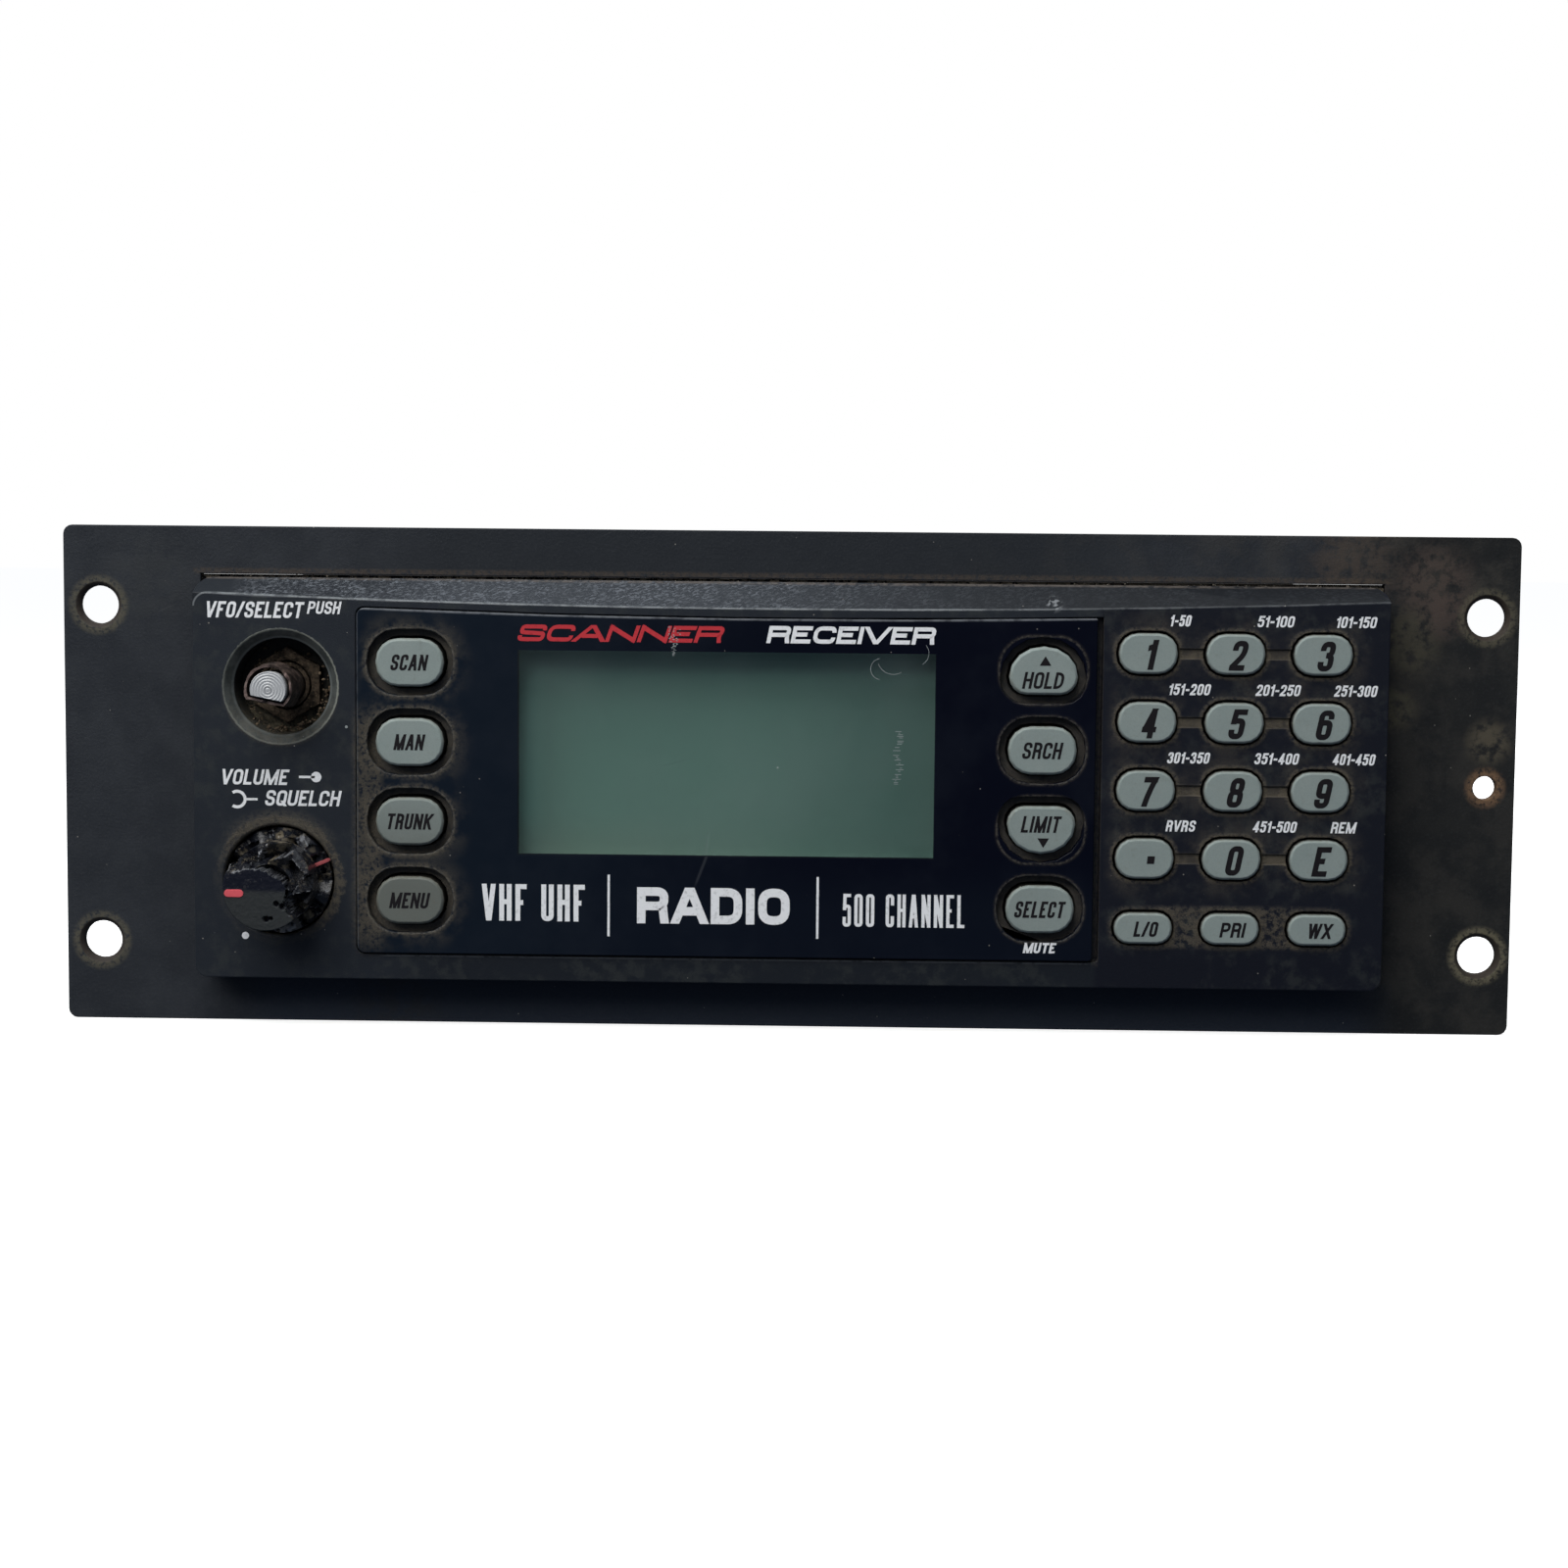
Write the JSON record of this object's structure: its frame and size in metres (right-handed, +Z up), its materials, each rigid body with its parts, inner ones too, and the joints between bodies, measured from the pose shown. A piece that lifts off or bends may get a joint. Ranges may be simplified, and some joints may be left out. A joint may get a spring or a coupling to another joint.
{
  "type": "scanner radio",
  "caption": "Vehicle scanner radio in a black console faceplate, with display, keypad, push encoder shaft and dual volume and squelch knobs.",
  "frame": {"origin": "centre of the bounding box of the whole assembly", "axes": "+X to the right of someone facing the front, along the faceplate; -Y is the side that the front faces; +Z up"},
  "size_m": [0.2222, 0.1794, 0.0762],
  "materials": {
    "faceplate_steel": "matt black powder coat, dusty and rubbed",
    "bezel_plastic": "blue-black moulded plastic, scuffed along the top bevel",
    "lens_plastic": "glossy acrylic, printed dark blue behind except at the window",
    "lcd_frame_metal": "tinned sheet",
    "lcd_glass": "grey-green liquid crystal panel, switched off",
    "diffuser_plastic": "milky acrylic",
    "key_mat_rubber": "silicone rubber",
    "circuit_board": "green solder mask",
    "key_plastic": "pale grey-green moulded plastic with worn edges",
    "control_zinc": "dull plated zinc",
    "nut_metal": "dull nickel plate with dirt",
    "shaft_metal": "turned aluminium, matt end",
    "broken_hub_plastic": "brown-black torn plastic",
    "knob_plastic": "gloss black, chipped and dirty",
    "cabinet_steel": "fine black wrinkle paint",
    "socket_nickel": "nickel plate",
    "socket_plastic": "black moulded plastic",
    "shield_tin": "tinned sheet",
    "speaker_paper": "black pressed paper and steel frame",
    "ribbon_plastic": "grey flat cable",
    "screw_steel": "zinc-plated, dull"
  },
  "bodies": {
    "radio": {"faceplate": "faceplate_steel", "front_bezel": "bezel_plastic", "display_lens": "lens_plastic", "lcd_frame": "lcd_frame_metal", "lcd_glass": "lcd_glass", "backlight_diffuser": "diffuser_plastic", "left_key_mat": "key_mat_rubber", "right_key_mat": "key_mat_rubber", "front_circuit_board": "circuit_board", "encoder_body": "control_zinc", "encoder_nut": "nut_metal", "potentiometer_body": "control_zinc", "potentiometer_nut": "nut_metal", "chassis_tray": "cabinet_steel", "top_cover": "cabinet_steel", "rear_panel": "cabinet_steel", "antenna_socket": "socket_nickel", "power_jack": "socket_plastic", "external_speaker_jack": "socket_plastic", "line_out_jack": "socket_plastic", "data_port": "socket_nickel", "main_circuit_board": "circuit_board", "tuner_shield": "shield_tin", "speaker": "speaker_paper", "flat_cable": "ribbon_plastic", "left_front_screw": "screw_steel", "left_rear_screw": "screw_steel", "right_front_screw": "screw_steel", "right_rear_screw": "screw_steel"},
    "scan_key": {"scan_key": "key_plastic"},
    "manual_key": {"manual_key": "key_plastic"},
    "trunk_key": {"trunk_key": "key_plastic"},
    "menu_key": {"menu_key": "key_plastic"},
    "hold_key": {"hold_key": "key_plastic"},
    "search_key": {"search_key": "key_plastic"},
    "limit_key": {"limit_key": "key_plastic"},
    "select_key": {"select_key": "key_plastic"},
    "digit_1_key": {"digit_1_key": "key_plastic"},
    "digit_2_key": {"digit_2_key": "key_plastic"},
    "digit_3_key": {"digit_3_key": "key_plastic"},
    "digit_4_key": {"digit_4_key": "key_plastic"},
    "digit_5_key": {"digit_5_key": "key_plastic"},
    "digit_6_key": {"digit_6_key": "key_plastic"},
    "digit_7_key": {"digit_7_key": "key_plastic"},
    "digit_8_key": {"digit_8_key": "key_plastic"},
    "digit_9_key": {"digit_9_key": "key_plastic"},
    "point_key": {"point_key": "key_plastic"},
    "digit_0_key": {"digit_0_key": "key_plastic"},
    "enter_key": {"enter_key": "key_plastic"},
    "lockout_key": {"lockout_key": "key_plastic"},
    "priority_key": {"priority_key": "key_plastic"},
    "weather_key": {"weather_key": "key_plastic"},
    "encoder_plunger": {"encoder_plunger": "nut_metal"},
    "encoder_shaft": {"encoder_shaft": "shaft_metal", "encoder_knob_hub": "broken_hub_plastic"},
    "squelch_control": {"squelch_knob": "knob_plastic", "squelch_shaft": "shaft_metal"},
    "volume_control": {"volume_knob": "knob_plastic", "volume_shaft": "shaft_metal"}
  },
  "joints": [
    {"name": "scan_key_press", "type": "slide", "parent": "radio", "child": "scan_key", "axis": [0, 1, 0], "range_m": [0, 0.001], "stiffness_N_per_m": 250},
    {"name": "manual_key_press", "type": "slide", "parent": "radio", "child": "manual_key", "axis": [0, 1, 0], "range_m": [0, 0.001], "stiffness_N_per_m": 250},
    {"name": "trunk_key_press", "type": "slide", "parent": "radio", "child": "trunk_key", "axis": [0, 1, 0], "range_m": [0, 0.001], "stiffness_N_per_m": 250},
    {"name": "menu_key_press", "type": "slide", "parent": "radio", "child": "menu_key", "axis": [0, 1, 0], "range_m": [0, 0.001], "stiffness_N_per_m": 250},
    {"name": "hold_key_press", "type": "slide", "parent": "radio", "child": "hold_key", "axis": [0, 1, 0], "range_m": [0, 0.001], "stiffness_N_per_m": 250},
    {"name": "search_key_press", "type": "slide", "parent": "radio", "child": "search_key", "axis": [0, 1, 0], "range_m": [0, 0.001], "stiffness_N_per_m": 250},
    {"name": "limit_key_press", "type": "slide", "parent": "radio", "child": "limit_key", "axis": [0, 1, 0], "range_m": [0, 0.001], "stiffness_N_per_m": 250},
    {"name": "select_key_press", "type": "slide", "parent": "radio", "child": "select_key", "axis": [0, 1, 0], "range_m": [0, 0.001], "stiffness_N_per_m": 250},
    {"name": "digit_1_key_press", "type": "slide", "parent": "radio", "child": "digit_1_key", "axis": [0, 1, 0], "range_m": [0, 0.001], "stiffness_N_per_m": 250},
    {"name": "digit_2_key_press", "type": "slide", "parent": "radio", "child": "digit_2_key", "axis": [0, 1, 0], "range_m": [0, 0.001], "stiffness_N_per_m": 250},
    {"name": "digit_3_key_press", "type": "slide", "parent": "radio", "child": "digit_3_key", "axis": [0, 1, 0], "range_m": [0, 0.001], "stiffness_N_per_m": 250},
    {"name": "digit_4_key_press", "type": "slide", "parent": "radio", "child": "digit_4_key", "axis": [0, 1, 0], "range_m": [0, 0.001], "stiffness_N_per_m": 250},
    {"name": "digit_5_key_press", "type": "slide", "parent": "radio", "child": "digit_5_key", "axis": [0, 1, 0], "range_m": [0, 0.001], "stiffness_N_per_m": 250},
    {"name": "digit_6_key_press", "type": "slide", "parent": "radio", "child": "digit_6_key", "axis": [0, 1, 0], "range_m": [0, 0.001], "stiffness_N_per_m": 250},
    {"name": "digit_7_key_press", "type": "slide", "parent": "radio", "child": "digit_7_key", "axis": [0, 1, 0], "range_m": [0, 0.001], "stiffness_N_per_m": 250},
    {"name": "digit_8_key_press", "type": "slide", "parent": "radio", "child": "digit_8_key", "axis": [0, 1, 0], "range_m": [0, 0.001], "stiffness_N_per_m": 250},
    {"name": "digit_9_key_press", "type": "slide", "parent": "radio", "child": "digit_9_key", "axis": [0, 1, 0], "range_m": [0, 0.001], "stiffness_N_per_m": 250},
    {"name": "point_key_press", "type": "slide", "parent": "radio", "child": "point_key", "axis": [0, 1, 0], "range_m": [0, 0.001], "stiffness_N_per_m": 250},
    {"name": "digit_0_key_press", "type": "slide", "parent": "radio", "child": "digit_0_key", "axis": [0, 1, 0], "range_m": [0, 0.001], "stiffness_N_per_m": 250},
    {"name": "enter_key_press", "type": "slide", "parent": "radio", "child": "enter_key", "axis": [0, 1, 0], "range_m": [0, 0.001], "stiffness_N_per_m": 250},
    {"name": "lockout_key_press", "type": "slide", "parent": "radio", "child": "lockout_key", "axis": [0, 1, 0], "range_m": [0, 0.001], "stiffness_N_per_m": 250},
    {"name": "priority_key_press", "type": "slide", "parent": "radio", "child": "priority_key", "axis": [0, 1, 0], "range_m": [0, 0.001], "stiffness_N_per_m": 250},
    {"name": "weather_key_press", "type": "slide", "parent": "radio", "child": "weather_key", "axis": [0, 1, 0], "range_m": [0, 0.001], "stiffness_N_per_m": 250},
    {"name": "encoder_push", "type": "slide", "parent": "radio", "child": "encoder_plunger", "axis": [0, 1, 0], "range_m": [0, 0.0005], "stiffness_N_per_m": 900},
    {"name": "encoder_turn", "type": "hinge", "parent": "encoder_plunger", "child": "encoder_shaft", "pos_m": [-0.07635, -0.07875, 0.014], "axis": [0, 1, 0], "continuous": true},
    {"name": "squelch_turn", "type": "hinge", "parent": "radio", "child": "squelch_control", "pos_m": [-0.0767, -0.07875, -0.0154], "axis": [0, 1, 0], "range_deg": [-217, 83]},
    {"name": "volume_turn", "type": "hinge", "parent": "radio", "child": "volume_control", "pos_m": [-0.0767, -0.07875, -0.0154], "axis": [0, 1, 0], "range_deg": [-54, 246]}
  ]
}
